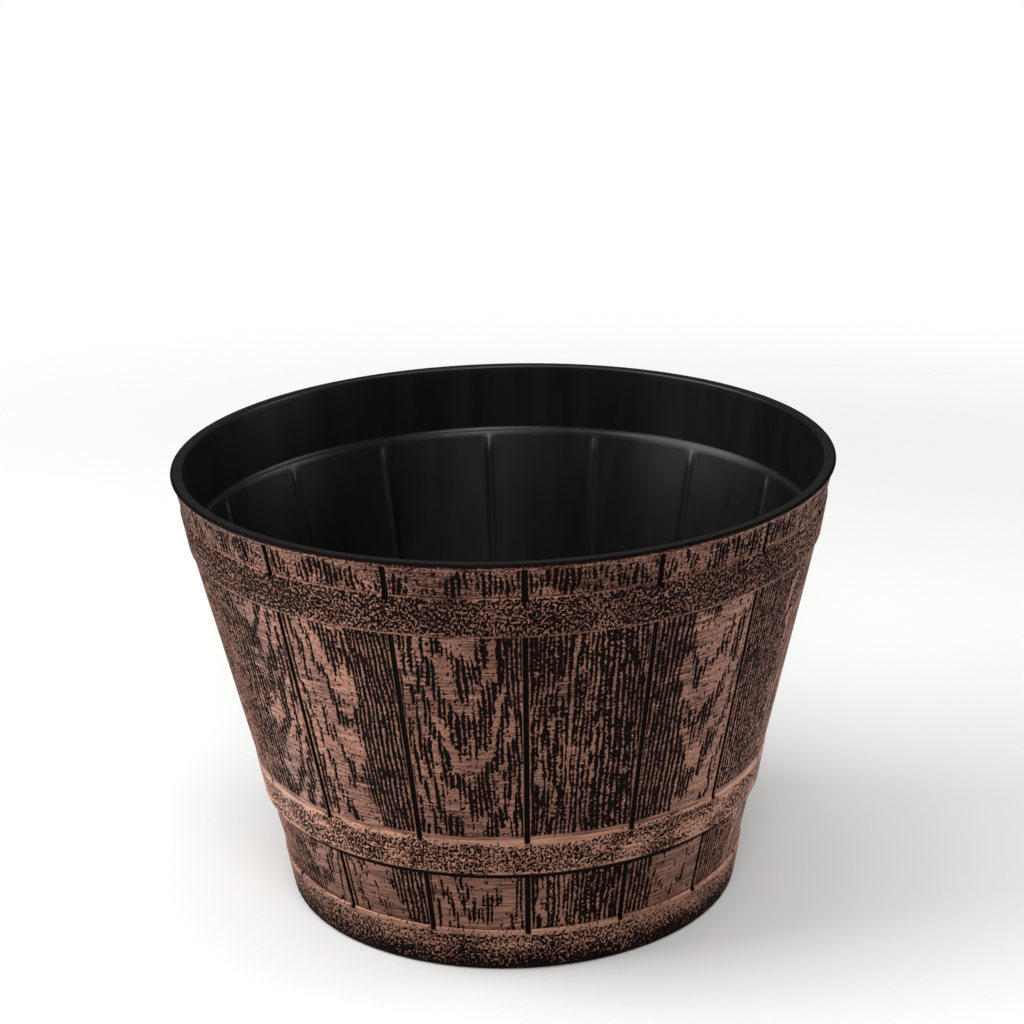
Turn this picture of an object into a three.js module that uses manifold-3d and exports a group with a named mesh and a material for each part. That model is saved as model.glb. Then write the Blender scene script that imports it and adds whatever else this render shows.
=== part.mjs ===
// Round planter moulded in one shell in the likeness of a coopered barrel: sixteen staves, two hoops and a
// foot band stand in relief on a tapered wall, and four push-in plugs close the drain holes in its base.
// Millimetres, +Z up. The origin is on the ground, at the centre of the standing ring.

import * as THREE from 'three';
import { mergeVertices } from 'three/addons/utils/BufferGeometryUtils.js';
import Module from 'manifold-3d';

// ---- Driving dimensions ------------------------------------------------------------------------------

const height = 210;             // ground to the top of the lip
const footRadius = 104.9;       // outside face of the staves, carried down to the ground
const topRadius = 152.9;        // outside face of the staves, carried up to the lip
const wallThickness = 2.5;      // wall behind the staves

const staveCount = 16;
const facesPerStave = 4;        // flat facets across one stave
const seamWidth = 2.8;          // seam between two staves, at the surface
const seamFloorWidth = 1.8;     // flat floor of the seam
const seamDepth = 1.3;
const seamTrace = 0.2;          // faint crease where a seam passes under a hoop
const seamRunOut = 1.5;         // length over which a seam rises to the surface at its end

const lipWidth = 5.5;           // flat top of the lip, outside to inside
const lipStandProud = 0.6;      // lip beyond the rim staves
const lipBeadHeight = 2.4;      // smooth bead around the lip
const lipEdgeRadius = 1.1;      // rounding of the lip's two edges
const lipArcSteps = 3;

const rimHeight = 15.9;         // top of the lip to the top edge of the upper hoop
const rimSetBack = 1.0;         // rim staves behind the line of the long staves

const upperHoopHeight = 18.8;
const upperHoopTopProud = 0;    // upper hoop against the line of the long staves, at its top edge
const upperHoopBottomProud = 0.9;
const upperHoopUndercut = 1.3;  // height of the slope under its bottom edge

const lowerHoopRise = 52;       // ground to the bottom edge of the lower hoop
const lowerHoopHeight = 19.8;
const lowerHoopTopProud = 0.5;
const lowerHoopBottomProud = 1.3;
const lowerHoopUndercut = 2;

const hoopBevel = 1.2;          // height of the slope at a hoop's top edge
const hoopNotch = 2.4;          // how far a seam runs on into a hoop's top edge

const footBandHeight = 21.8;
const footBandTopProud = 0.5;
const footBandBottomProud = 1.3;
const footStaveSetBack = 0.5;   // short staves behind the line of the long staves
const footCornerRadius = 3.2;   // rounding where the foot band turns under
const footArcSteps = 3;

const standingRingWidth = 7;    // flat ring that the planter stands on
const baseRecess = 4;           // underside of the base plate above the ground
const recessSlope = 2.5;        // draft of the recess wall, in plan
const baseThickness = 3;
const insideFillet = 5;         // rounding between the base plate and the wall, inside
const insideFilletSteps = 3;

const ledgeWidth = 1.3;         // step inside, behind the bottom edge of the upper hoop
const ledgeSlope = 1.4;         // height of that step
const ledgeAboveHoop = 1.0;     // foot of the step above the upper hoop's bottom edge
const ribWidth = 3.2;           // low rib inside, behind each seam
const ribCrestWidth = 1.8;
const ribDepth = 0.35;
const ribBelowLedge = 2.6;      // smooth wall between the ledge and the top of a rib
const ribEnd = 0.6;             // height of the sloping top of a rib

const drainCount = 4;
const drainCircleRadius = 60;   // circle that the drain holes lie on
const drainRadius = 6;
const seatRadius = 9.6;         // recess around a hole, in which the plug's flange sits
const seatDepth = 1.2;
const gateRadius = 3;           // dimple left by the moulding gate, under the middle of the base
const gateDepth = 0.8;

const plugClearance = 0.3;      // between a plug and its hole, and under its flange
const flangeThickness = 1.5;
const flangeEdge = 0.4;         // chamfer around the flange
const flangeDish = 0.5;         // shallow dish in the flange's top
const flangeDishRadius = 3.8;
const stemBelowBase = 3;        // stem below the underside of the base plate
const stemTaper = 0.6;          // loss of radius down the stem
const stemWall = 1.4;
const stemLeadIn = 0.6;         // chamfer at the stem's end
const roundSteps = 24;          // facets around a plug or a hole
const cutterOverrun = 1;        // how far the cutters stand out of the plate that they cut

// ---- Sizes that follow ---------------------------------------------------------------------------------

const wholeTurn = 2 * Math.PI;
const staveAngle = wholeTurn / staveCount;
const wallLean = Math.atan2(topRadius - footRadius, height);
const staveFace = (z) => footRadius + z * Math.tan(wallLean);

const upperHoopTop = height - rimHeight;
const upperHoopBottom = upperHoopTop - upperHoopHeight;
const lowerHoopTop = lowerHoopRise + lowerHoopHeight;
const lipRadius = staveFace(height) - rimSetBack + lipStandProud;
const ledgeFoot = upperHoopBottom + ledgeAboveHoop;
const baseTop = baseRecess + baseThickness;
const seatLevel = baseTop - seatDepth;

// ---- Outline of the shell ------------------------------------------------------------------------------
// The outline is a list of rows, from the middle of the underside out, up the outside, over the lip and
// down the inside to the middle of the base plate. Each row is a ring of the given radius and height, and
// dip is how far its seam columns are drawn in: a seam's depth outside, a rib's height inside.

const outsideRow = (z, proud, dip = 0) => (
  { radius: staveFace(z) + proud, z, dip, width: seamWidth, floor: seamFloorWidth }
);

const insideRow = (z, radius, dip = 0) => ({ radius, z, dip, width: ribWidth, floor: ribCrestWidth });

// Rows of a quarter-round, from one angle to another around a centre in the radius-height plane.
function arcRows(makeRow, centreRadius, centreZ, arcRadius, fromAngle, toAngle, steps) {
  const rows = [];
  for (let step = 0; step <= steps; step += 1) {
    const angle = fromAngle + (toAngle - fromAngle) * step / steps;
    rows.push(makeRow(centreZ + arcRadius * Math.sin(angle), centreRadius + arcRadius * Math.cos(angle)));
  }
  return rows;
}

const plainRow = (z, radius) => outsideRow(z, radius - staveFace(z));

// Standing ring, rounded corner and foot band. The band leans out less than the wall.
function footRows() {
  const cornerRadius = staveFace(footCornerRadius) + footBandBottomProud - footCornerRadius * Math.cos(wallLean);
  const ringInside = cornerRadius - standingRingWidth;
  return [
    plainRow(baseRecess, ringInside - recessSlope),
    plainRow(0, ringInside),
    ...arcRows(plainRow, cornerRadius, footCornerRadius, footCornerRadius, -Math.PI / 2, -wallLean, footArcSteps),
    outsideRow(footBandHeight - hoopBevel, footBandTopProud),
    outsideRow(footBandHeight, -footStaveSetBack, seamDepth),
  ];
}

// One hoop: the slope under its bottom edge, its face, and the bevel at its top edge, which the seams of
// the staves above run into. staveBelow and staveAbove are the lines of the staves that it lies between.
function hoopRows(bottom, top, hoop) {
  return [
    outsideRow(bottom, hoop.staveBelow, seamDepth),
    outsideRow(bottom + hoop.undercut, hoop.bottomProud, seamTrace),
    outsideRow(top - hoopBevel - hoopNotch, hoop.topProud, seamTrace),
    outsideRow(top - hoopBevel, hoop.topProud, seamDepth),
    outsideRow(top, hoop.staveAbove, seamDepth),
  ];
}

// Smooth lip: a bead outside, a flat top and two rounded edges.
function lipRows() {
  const beadBottom = height - lipBeadHeight;
  const edgeCentre = height - lipEdgeRadius;
  return [
    outsideRow(beadBottom - seamRunOut, -rimSetBack, seamDepth),
    outsideRow(beadBottom, -rimSetBack),
    ...arcRows(plainRow, lipRadius - lipEdgeRadius, edgeCentre, lipEdgeRadius, 0, Math.PI / 2, lipArcSteps),
    ...arcRows(insideRow, lipRadius - lipWidth + lipEdgeRadius, edgeCentre, lipEdgeRadius,
      Math.PI / 2, Math.PI, lipArcSteps),
  ];
}

// Inside wall: the rim leans in to the ledge, and below it the wall follows the staves at one thickness.
function insideRows() {
  const insideFace = (z) => staveFace(z) - wallThickness;
  const ribTop = ledgeFoot - ribBelowLedge;
  const filletTop = baseTop + insideFillet;
  return [
    insideRow(ledgeFoot + ledgeSlope, insideFace(ledgeFoot) + ledgeWidth),
    insideRow(ledgeFoot, insideFace(ledgeFoot)),
    insideRow(ribTop, insideFace(ribTop)),
    insideRow(ribTop - ribEnd, insideFace(ribTop - ribEnd), ribDepth),
    insideRow(filletTop + ribEnd, insideFace(filletTop + ribEnd), ribDepth),
    ...arcRows(insideRow, insideFace(filletTop) - insideFillet, filletTop, insideFillet,
      0, -Math.PI / 2, insideFilletSteps),
  ];
}

function shellRows() {
  const upperHoop = {
    undercut: upperHoopUndercut,
    bottomProud: upperHoopBottomProud,
    topProud: upperHoopTopProud,
    staveBelow: 0,
    staveAbove: -rimSetBack,
  };
  const lowerHoop = {
    undercut: lowerHoopUndercut,
    bottomProud: lowerHoopBottomProud,
    topProud: lowerHoopTopProud,
    staveBelow: -footStaveSetBack,
    staveAbove: 0,
  };
  return [
    ...footRows(),
    ...hoopRows(lowerHoopRise, lowerHoopTop, lowerHoop),
    ...hoopRows(upperHoopBottom, upperHoopTop, upperHoop),
    ...lipRows(),
    ...insideRows(),
  ];
}

// ---- Loft ----------------------------------------------------------------------------------------------

// Points around one row. A seam or rib takes four columns, at its two edges and at the two corners of its
// floor, and the stave between two seams is split evenly. Seams keep their width whatever the radius.
function rowPoints(row) {
  const edgeAngle = row.width / 2 / row.radius;
  const floorAngle = row.floor / 2 / row.radius;
  const points = [];
  const addPoint = (angle, radius) => {
    points.push(new THREE.Vector3(radius * Math.cos(angle), radius * Math.sin(angle), row.z));
  };
  for (let stave = 0; stave < staveCount; stave += 1) {
    const seam = stave * staveAngle;
    addPoint(seam - floorAngle, row.radius - row.dip);
    addPoint(seam + floorAngle, row.radius - row.dip);
    for (let face = 0; face <= facesPerStave; face += 1) {
      const across = edgeAngle + (staveAngle - 2 * edgeAngle) * face / facesPerStave;
      addPoint(seam + across, row.radius);
    }
  }
  return points;
}

// Closed skin over the rows, with the first and last row drawn together to a point on the axis.
function loftRows(rows) {
  const rings = rows.map(rowPoints);
  const columns = rings[0].length;
  const points = rings.flat();
  const firstCentre = points.push(new THREE.Vector3(0, 0, rows[0].z)) - 1;
  const lastCentre = points.push(new THREE.Vector3(0, 0, rows.at(-1).z)) - 1;
  const lastRing = (rings.length - 1) * columns;
  const triangles = [];
  for (let column = 0; column < columns; column += 1) {
    const next = (column + 1) % columns;
    triangles.push(firstCentre, next, column);
    triangles.push(lastCentre, lastRing + column, lastRing + next);
    for (let ring = 0; ring < rings.length - 1; ring += 1) {
      const low = ring * columns;
      const high = low + columns;
      triangles.push(low + column, low + next, high + next);
      triangles.push(low + column, high + next, high + column);
    }
  }
  const geometry = new THREE.BufferGeometry().setFromPoints(points);
  geometry.setIndex(triangles);
  return geometry;
}

// Solid of revolution about +Z, from a profile of [radius, height] points that starts and ends on the axis.
function turnedSolid(profile) {
  const geometry = new THREE.LatheGeometry(profile.map(([x, y]) => new THREE.Vector2(x, y)), roundSteps);
  return geometry.rotateX(Math.PI / 2);
}

// ---- Joining and cutting -------------------------------------------------------------------------------

const wasm = await Module();
wasm.setup();

function toManifold(geometry) {
  const bare = geometry.clone();
  bare.deleteAttribute('normal');
  bare.deleteAttribute('uv');
  const merged = mergeVertices(bare);
  return new wasm.Manifold(new wasm.Mesh({
    numProp: 3,
    vertProperties: new Float32Array(merged.attributes.position.array),
    triVerts: new Uint32Array(merged.index.array),
  }));
}

function toGeometry(solid) {
  const mesh = solid.getMesh();
  const geometry = new THREE.BufferGeometry();
  geometry.setAttribute('position', new THREE.BufferAttribute(mesh.vertProperties, 3));
  geometry.setIndex(new THREE.BufferAttribute(mesh.triVerts, 1));
  geometry.computeVertexNormals();
  return geometry;
}

// ---- Pieces --------------------------------------------------------------------------------------------

// Places of the drain holes, each under the middle of a quarter of the base.
function drainPlaces() {
  const places = [];
  for (let drain = 0; drain < drainCount; drain += 1) {
    const angle = wholeTurn * (drain + 0.5) / drainCount;
    places.push([drainCircleRadius * Math.cos(angle), drainCircleRadius * Math.sin(angle)]);
  }
  return places;
}

// Cutter for one drain hole with the seat for its plug.
function drainCutter() {
  return turnedSolid([
    [0, baseRecess - cutterOverrun],
    [drainRadius, baseRecess - cutterOverrun],
    [drainRadius, seatLevel],
    [seatRadius, seatLevel],
    [seatRadius, baseTop + cutterOverrun],
    [0, baseTop + cutterOverrun],
  ]);
}

function gateCutter() {
  return turnedSolid([
    [0, baseRecess - cutterOverrun],
    [gateRadius, baseRecess - cutterOverrun],
    [gateRadius, baseRecess + gateDepth],
    [0, baseRecess + gateDepth],
  ]);
}

function makeShell() {
  let shell = toManifold(loftRows(shellRows()));
  for (const [x, y] of drainPlaces()) {
    shell = shell.subtract(toManifold(drainCutter().translate(x, y, 0)));
  }
  return toGeometry(shell.subtract(toManifold(gateCutter())));
}

// Plug with its flange on the seat, modelled at the height where it sits: a flange with a shallow dish and
// a hollow stem that narrows downwards.
function makePlug() {
  const flangeBottom = seatLevel + plugClearance;
  const flangeTop = flangeBottom + flangeThickness;
  const flangeRadius = seatRadius - plugClearance;
  const stemRadius = drainRadius - plugClearance;
  const stemEnd = baseRecess - stemBelowBase;
  const tipRadius = stemRadius - stemTaper;
  return turnedSolid([
    [0, flangeBottom],
    [tipRadius - stemWall, flangeBottom],
    [tipRadius - stemWall, stemEnd],
    [tipRadius - stemLeadIn, stemEnd],
    [tipRadius, stemEnd + stemLeadIn],
    [stemRadius, flangeBottom],
    [flangeRadius, flangeBottom],
    [flangeRadius, flangeTop - flangeEdge],
    [flangeRadius - flangeEdge, flangeTop],
    [flangeDishRadius + flangeDish, flangeTop],
    [flangeDishRadius, flangeTop - flangeDish],
    [0, flangeTop - flangeDish],
  ]);
}

// ---- Assembly ------------------------------------------------------------------------------------------

const rubbedCopperPlastic = new THREE.MeshStandardMaterial({ color: 0x5b3629, roughness: 0.42, metalness: 0.35 });
const blackRubber = new THREE.MeshStandardMaterial({ color: 0x191a1b, roughness: 0.75, metalness: 0 });

const planter = new THREE.Group();

function addPiece(name, geometry, material) {
  const mesh = new THREE.Mesh(geometry, material.clone());
  mesh.name = name;
  planter.add(mesh);
  return mesh;
}

addPiece('barrel_shell', makeShell(), rubbedCopperPlastic);
drainPlaces().forEach(([x, y], index) => {
  addPiece(`drain_plug_${index + 1}`, makePlug(), blackRubber).position.set(x, y, 0);
});

export default planter;
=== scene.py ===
"""Barrel planter: the finish of a round pot moulded in black plastic in the likeness of a coopered barrel.

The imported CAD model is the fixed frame. Its shell is dressed with finely modelled skins, which carry the
wood grain, the hammered hoops and the rubbed copper paint, and its drain plugs with smoother turned ones.
Lengths are in millimetres until a mesh is made, and angles are in radians.
"""

import bmesh
import bpy
import numpy as np
from mathutils import Matrix, Vector


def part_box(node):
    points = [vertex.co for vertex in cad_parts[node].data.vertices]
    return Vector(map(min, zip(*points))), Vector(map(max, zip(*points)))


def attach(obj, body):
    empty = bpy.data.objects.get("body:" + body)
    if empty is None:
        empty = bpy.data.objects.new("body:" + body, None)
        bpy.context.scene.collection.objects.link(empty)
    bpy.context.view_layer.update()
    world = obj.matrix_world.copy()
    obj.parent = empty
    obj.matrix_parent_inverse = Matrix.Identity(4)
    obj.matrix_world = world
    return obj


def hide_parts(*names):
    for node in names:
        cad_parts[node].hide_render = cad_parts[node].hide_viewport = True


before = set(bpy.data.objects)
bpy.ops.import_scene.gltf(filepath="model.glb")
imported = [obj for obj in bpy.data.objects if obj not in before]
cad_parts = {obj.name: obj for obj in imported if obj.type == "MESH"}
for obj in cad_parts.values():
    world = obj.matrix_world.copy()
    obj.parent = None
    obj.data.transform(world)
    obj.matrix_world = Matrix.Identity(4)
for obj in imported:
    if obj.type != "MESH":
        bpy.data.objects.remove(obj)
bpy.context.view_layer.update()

# ---- Smooth inside and lip -------------------------------------------------------------------------------
# The inner skin of the moulding: the flat top of the lip, the wall down to a ledge behind the upper hoop,
# and below it the main wall with a low rib behind each seam. Black polypropylene from a polished mould.

MM = 0.001
shell_high = np.array(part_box("barrel_shell")[1]) / MM

TOP = shell_high[2]
LIP_RADIUS = shell_high[0]
STAVES = 16
FOOT_LINE = 104.9               # long staves' face, carried down to the ground
TOP_LINE = 152.9                # and carried up to the lip
RIM_SET_BACK = 1.0              # rim staves behind the line of the long staves
LIP_WIDTH = 5.5
LIP_EDGE = 1.1                  # rounding of the lip's edges
LIP_STEP = 1.4                  # the lip's flat reaches out over the hidden face this far under its top
WALL = 2.5
LEDGE_FOOT = 176.3
LEDGE_WIDTH = 1.3
LEDGE_RISE = 1.4
LEDGE_EASE = 0.15               # softening of the corner under the ledge
UPPER_WALL_TOP = TOP - 4.0      # the wall above the ledge has rows of its own, from here
UPPER_WALL_BOTTOM = LEDGE_FOOT + LEDGE_RISE + 1.0
UPPER_ROWS = 8
RIBBED_ROWS = 24
INSIDE_FACE_COLUMNS = 20
RIB_TOP = LEDGE_FOOT - 2.6
RIB_END = 0.6
RIB_DEPTH = 0.35
RIB_CREST_HALF = 0.9            # half the width of a rib's flat crest
RIB_HALF = 1.6
BASE_TOP = 7.0
BASE_BOTTOM = 4.0
INSIDE_FILLET = 5.0
PLATE_LAP = 0.5                 # the inner skin reaches this far in under the base plate's edge
OVERLAP = 0.05                  # skins lie this far into each other, so that no gap shows
CORE_BENDS = (172.0, 177.5, 194.0)      # heights at which the hidden face between the skins bends
CORE_BEHIND = (2.0, 1.15, 2.5)          # how far it lies behind the long staves' face there


def stave_line(z):
    """Radius of the long staves' face at height z: a straight line from the foot to the lip."""
    return FOOT_LINE + (TOP_LINE - FOOT_LINE) * z / TOP


def core_line(z):
    """Radius of the hidden face that the outer skins lie on: behind their seams, in front of the ledge."""
    return stave_line(z) - np.interp(z, CORE_BENDS, CORE_BEHIND)


def quarter_round(centre_radius, centre_z, radius, start, end, steps=5):
    """Points (radius, z) of an arc around a centre, from one angle in degrees to another."""
    angle = np.radians(np.linspace(start, end, steps))
    return np.column_stack((centre_radius + radius * np.cos(angle), centre_z + radius * np.sin(angle)))


def stave_columns(radius, offsets, face_columns):
    """Places across the staves for each row: the distance in mm from the seam at the left of its stave.

    offsets are fixed distances from a seam, in rising order from 0, and the rest of the stave is split
    evenly. Returns the distances, the width of a stave on each row, and the stave's number of each column.
    """
    width = 2 * np.pi * np.asarray(radius, float)[:, None] / STAVES
    near = np.asarray(offsets)[None, :] * np.ones_like(width)
    share = np.linspace(0, 1, face_columns + 1)[None, 1:-1]
    face = offsets[-1] + (width - 2 * offsets[-1]) * share
    far = width - near[:, :0:-1]
    one_stave = np.hstack((near, face, far))
    across = np.tile(one_stave, (1, STAVES))
    stave = np.repeat(np.arange(STAVES), one_stave.shape[1])[None, :]
    return across, width, stave


def column_angle(across, width, stave):
    """Azimuth of each column: whole staves before it, plus its share of its own stave."""
    return (stave + across / width) * (2 * np.pi / STAVES)


def add_skin(name, radius, z, angle, wraps=True, smooth_rows=None, copper_and_painted_light=None):
    """Closed skin over a grid of rings: x = r cos a, y = r sin a, at height z.

    The last row joins the first one, so the rows run round the section of the wall. Where wraps is true the
    last column joins the first one too, and otherwise a flat face closes each end. Rows that run up the
    outside face outwards. The paint is given at each point of the first rows, and the rest has none: 1 is a
    plain coat, and more is a fuller one, whose brighter copper is also a painted highlight. On the rim and
    close under the lower hoop the paint is lowered, which is partly painted shade.
    """
    z = np.broadcast_to(z, radius.shape)
    angle = np.broadcast_to(angle, radius.shape)
    rows, columns = radius.shape
    points = np.stack((radius * np.cos(angle), radius * np.sin(angle), z), axis=-1) * MM
    number = np.arange(rows * columns).reshape(rows, columns)
    here = number if wraps else number[:, :-1]
    beside = np.roll(number, -1, axis=1) if wraps else number[:, 1:]
    quads = np.stack((here, beside, np.roll(beside, -1, axis=0), np.roll(here, -1, axis=0)), axis=-1)
    faces = quads.reshape(-1, 4)
    loops = faces.ravel()
    starts = np.arange(len(faces)) * 4
    if not wraps:
        loops = np.concatenate((loops, number[::-1, 0], number[:, -1]))
        starts = np.concatenate((starts, [len(faces) * 4, len(faces) * 4 + rows]))
    mesh = bpy.data.meshes.new(name)
    mesh.vertices.add(rows * columns)
    mesh.vertices.foreach_set("co", points.ravel())
    mesh.loops.add(len(loops))
    mesh.loops.foreach_set("vertex_index", loops.astype(np.int32))
    mesh.polygons.add(len(starts))
    mesh.polygons.foreach_set("loop_start", starts.astype(np.int32))
    smooth = np.zeros(len(starts), bool)
    face_row = np.arange(len(faces)) // here.shape[1]
    smooth[:len(faces)] = face_row < (rows if smooth_rows is None else smooth_rows)
    mesh.polygons.foreach_set("use_smooth", smooth)
    if copper_and_painted_light is not None:
        paint = np.zeros(rows * columns, np.float32)
        paint[:copper_and_painted_light.size] = copper_and_painted_light.ravel()
        mesh.attributes.new("copper_and_painted_light", "FLOAT", "POINT").data.foreach_set("value", paint)
    mesh.update(calc_edges=True)
    mesh.validate()
    piece = bpy.data.objects.new(name, mesh)
    bpy.context.scene.collection.objects.link(piece)
    return piece


def linear_colour(hex_code):
    """Scene colour of an sRGB hex code, by the sRGB transfer curve."""
    channels = np.array([int(hex_code[i:i + 2], 16) / 255 for i in (1, 3, 5)])
    linear = np.where(channels <= 0.04045, channels / 12.92, ((channels + 0.055) / 1.055) ** 2.4)
    return (*linear, 1.0)


def add_node(tree, kind, inputs=None, **settings):
    """Adds a shader node with its settings. inputs gives each socket a value, or a socket to link from."""
    node = tree.nodes.new("ShaderNode" + kind)
    for setting, value in settings.items():
        setattr(node, setting, value)
    for socket, value in (inputs or {}).items():
        if isinstance(value, bpy.types.NodeSocket):
            tree.links.new(value, node.inputs[socket])
        else:
            node.inputs[socket].default_value = value
    return node


def new_material(name):
    """Empty node material, with its tree and its Principled shader joined to the output."""
    material = bpy.data.materials.new(name)
    material.use_nodes = True
    tree = material.node_tree
    tree.nodes.clear()
    shader = add_node(tree, "BsdfPrincipled")
    add_node(tree, "OutputMaterial", {"Surface": shader.outputs[0]})
    return material, tree, shader


def polished_polypropylene():
    """Black polypropylene off a polished mould: deep black with a soft satin sheen, slightly uneven, with
    faint flow marks that run down the wall and a very fine leather-like skin."""
    material, tree, shader = new_material("polished_black_polypropylene")
    place = add_node(tree, "TexCoord").outputs["Object"]
    # The flow marks are 11 mm wide and 110 mm long, and the grains of the skin 0.7 mm across.
    flow_place = add_node(tree, "Mapping", {"Vector": place, "Scale": (90, 90, 9)}).outputs[0]
    flow = add_node(tree, "TexNoise", {"Vector": flow_place, "Scale": 1.0, "Detail": 3.0}).outputs[0]
    skin = add_node(tree, "TexNoise", {"Vector": place, "Scale": 1400.0, "Detail": 2.0}).outputs[0]
    tone = add_node(tree, "Mix", {0: flow, 6: linear_colour("#060606"), 7: linear_colour("#0b0b0b")},
                    data_type="RGBA").outputs[2]
    roughness = add_node(tree, "MapRange", {0: flow, 1: 0.25, 2: 0.75, 3: 0.30, 4: 0.40}).outputs[0]
    bump = add_node(tree, "Bump", {"Height": skin, "Strength": 0.25, "Distance": 0.00004}).outputs[0]
    tree.links.new(tone, shader.inputs["Base Color"])
    tree.links.new(roughness, shader.inputs["Roughness"])
    tree.links.new(bump, shader.inputs["Normal"])
    shader.inputs["IOR"].default_value = 1.49
    shader.inputs["Specular IOR Level"].default_value = 0.35
    return material


def inside_profile():
    """Rows (radius, z, rib) of the inner skin: up its hidden face, over the lip and down to the base."""
    def face(z):
        return stave_line(z) - WALL

    lip_inside = LIP_RADIUS - LIP_WIDTH
    lip_flat = LIP_RADIUS - LIP_EDGE
    hidden_z = np.array((BASE_BOTTOM, *CORE_BENDS, TOP - LIP_STEP))
    hidden = np.column_stack((core_line(hidden_z) + OVERLAP, hidden_z))
    lip = np.vstack((
        ((lip_flat, TOP - LIP_STEP), (lip_flat, TOP)),
        quarter_round(lip_inside + LIP_EDGE, TOP - LIP_EDGE, LIP_EDGE, 90, 180),
    ))
    ledge_top = LEDGE_FOOT + LEDGE_RISE
    ledge_radius = face(LEDGE_FOOT) + LEDGE_WIDTH
    upper_z = np.linspace(UPPER_WALL_TOP, UPPER_WALL_BOTTOM, UPPER_ROWS)
    upper_radius = np.interp(upper_z, (ledge_top, TOP - LIP_EDGE), (ledge_radius, lip_inside))
    upper = np.column_stack((upper_radius, upper_z))
    ledge = (
        (ledge_radius, ledge_top),
        (face(LEDGE_FOOT) + LEDGE_EASE, LEDGE_FOOT + LEDGE_EASE),
        (face(LEDGE_FOOT - LEDGE_EASE), LEDGE_FOOT - LEDGE_EASE),
        (face(RIB_TOP), RIB_TOP),
    )
    fillet_z = BASE_TOP + INSIDE_FILLET
    ribbed_z = np.linspace(RIB_TOP - RIB_END, fillet_z + RIB_END, RIBBED_ROWS)
    ribbed = np.column_stack((face(ribbed_z), ribbed_z))
    fillet = quarter_round(face(fillet_z) - INSIDE_FILLET, fillet_z, INSIDE_FILLET, 0, -90, 8)
    under_plate = fillet[-1, 0] - PLATE_LAP
    floor_edge = ((under_plate, BASE_TOP - OVERLAP), (under_plate, BASE_BOTTOM))
    stretches = (hidden, lip, upper, ledge, ribbed, fillet, floor_edge)
    rows = np.vstack(stretches)
    rib = np.concatenate([np.full(len(part), RIB_DEPTH if part is ribbed else 0.0) for part in stretches])
    return rows[:, 0], rows[:, 1], rib


inside_radius, inside_z, inside_rib = inside_profile()
across, width, stave = stave_columns(inside_radius, (0.0, RIB_CREST_HALF, RIB_HALF), INSIDE_FACE_COLUMNS)
from_seam = np.minimum(across, width - across)
rib_rise = np.interp(from_seam, (RIB_CREST_HALF, RIB_HALF), (1.0, 0.0)) * inside_rib[:, None]
inner_skin = add_skin("inner_wall_and_lip", inside_radius[:, None] - rib_rise, inside_z[:, None],
                      column_angle(across, width, stave))
inner_skin.data.set_sharp_from_angle(angle=np.radians(40))
black_plastic = polished_polypropylene()
inner_skin.data.materials.append(black_plastic)
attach(inner_skin, "barrel")
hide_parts("barrel_shell")

# ---- Base plate ------------------------------------------------------------------------------------------
# The floor of the pot, part of the same moulding: a flat plate with four drain holes, each with a shallow
# seat for its plug, and the dimple of the moulding gate under its middle.

BASE_RADIUS = stave_line(BASE_TOP + INSIDE_FILLET) - WALL - INSIDE_FILLET
DRAIN_RADIUS = 6.0
SEAT_RADIUS = 9.6
SEAT_LEVEL = 5.8
GATE_RADIUS = 3.0
GATE_DEPTH = 0.8
GATE_TOP = BASE_BOTTOM + GATE_DEPTH
CUTTER_REACH = 1.0              # what cuts a drain hole stands out this far above and below the plate


def add_turned(name, profile, centre=(0.0, 0.0), steps=72):
    """Solid of revolution about an upright axis: a closed profile of (radius, z) points, turned around it.

    A point at radius 0 becomes one pole, so the ring of points there is merged.
    """
    radius, z = np.array(profile, float).T
    angle = np.linspace(0, 2 * np.pi, steps, endpoint=False)[None, :]
    turned = add_skin(name, np.repeat(radius[:, None], steps, axis=1), z[:, None], angle)
    turned.data.transform(Matrix.Translation((centre[0] * MM, centre[1] * MM, 0)))
    fuse_poles(turned.data)
    return turned


def fuse_poles(mesh):
    """Merges points that lie together and drops the faces that this closes."""
    form = bmesh.new()
    form.from_mesh(mesh)
    bmesh.ops.remove_doubles(form, verts=form.verts, dist=1e-7)
    bmesh.ops.dissolve_degenerate(form, edges=form.edges, dist=1e-7)
    form.to_mesh(mesh)
    form.free()


def plug_centres():
    """Centres of the four drain plugs in the frame, in mm."""
    centres = []
    for number in range(1, 5):
        low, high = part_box(f"drain_plug_{number}")
        centres.append(((low[0] + high[0]) / 2 / MM, (low[1] + high[1]) / 2 / MM))
    return centres


base_plate = add_turned("base_plate", (
    (0, GATE_TOP),
    (GATE_RADIUS, GATE_TOP),
    (GATE_RADIUS, BASE_BOTTOM),
    (BASE_RADIUS, BASE_BOTTOM),
    (BASE_RADIUS, BASE_TOP),
    (0, BASE_TOP),
), steps=160)
for x, y in plug_centres():
    cutter = add_turned("drain_cutter", (
        (0, BASE_BOTTOM - CUTTER_REACH),
        (DRAIN_RADIUS, BASE_BOTTOM - CUTTER_REACH),
        (DRAIN_RADIUS, SEAT_LEVEL),
        (SEAT_RADIUS, SEAT_LEVEL),
        (SEAT_RADIUS, BASE_TOP + CUTTER_REACH),
        (0, BASE_TOP + CUTTER_REACH),
    ), centre=(x, y))
    cut = base_plate.modifiers.new("drain", "BOOLEAN")
    cut.object = cutter
    cut.operation = "DIFFERENCE"
    bpy.context.view_layer.update()
    drilled = base_plate.evaluated_get(bpy.context.evaluated_depsgraph_get())
    drilled_mesh = bpy.data.meshes.new_from_object(drilled)
    base_plate.modifiers.clear()
    base_plate.data = drilled_mesh
    bpy.data.objects.remove(cutter)
base_plate.data.name = "base_plate"
base_plate.data.set_sharp_from_angle(angle=np.radians(30))
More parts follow.
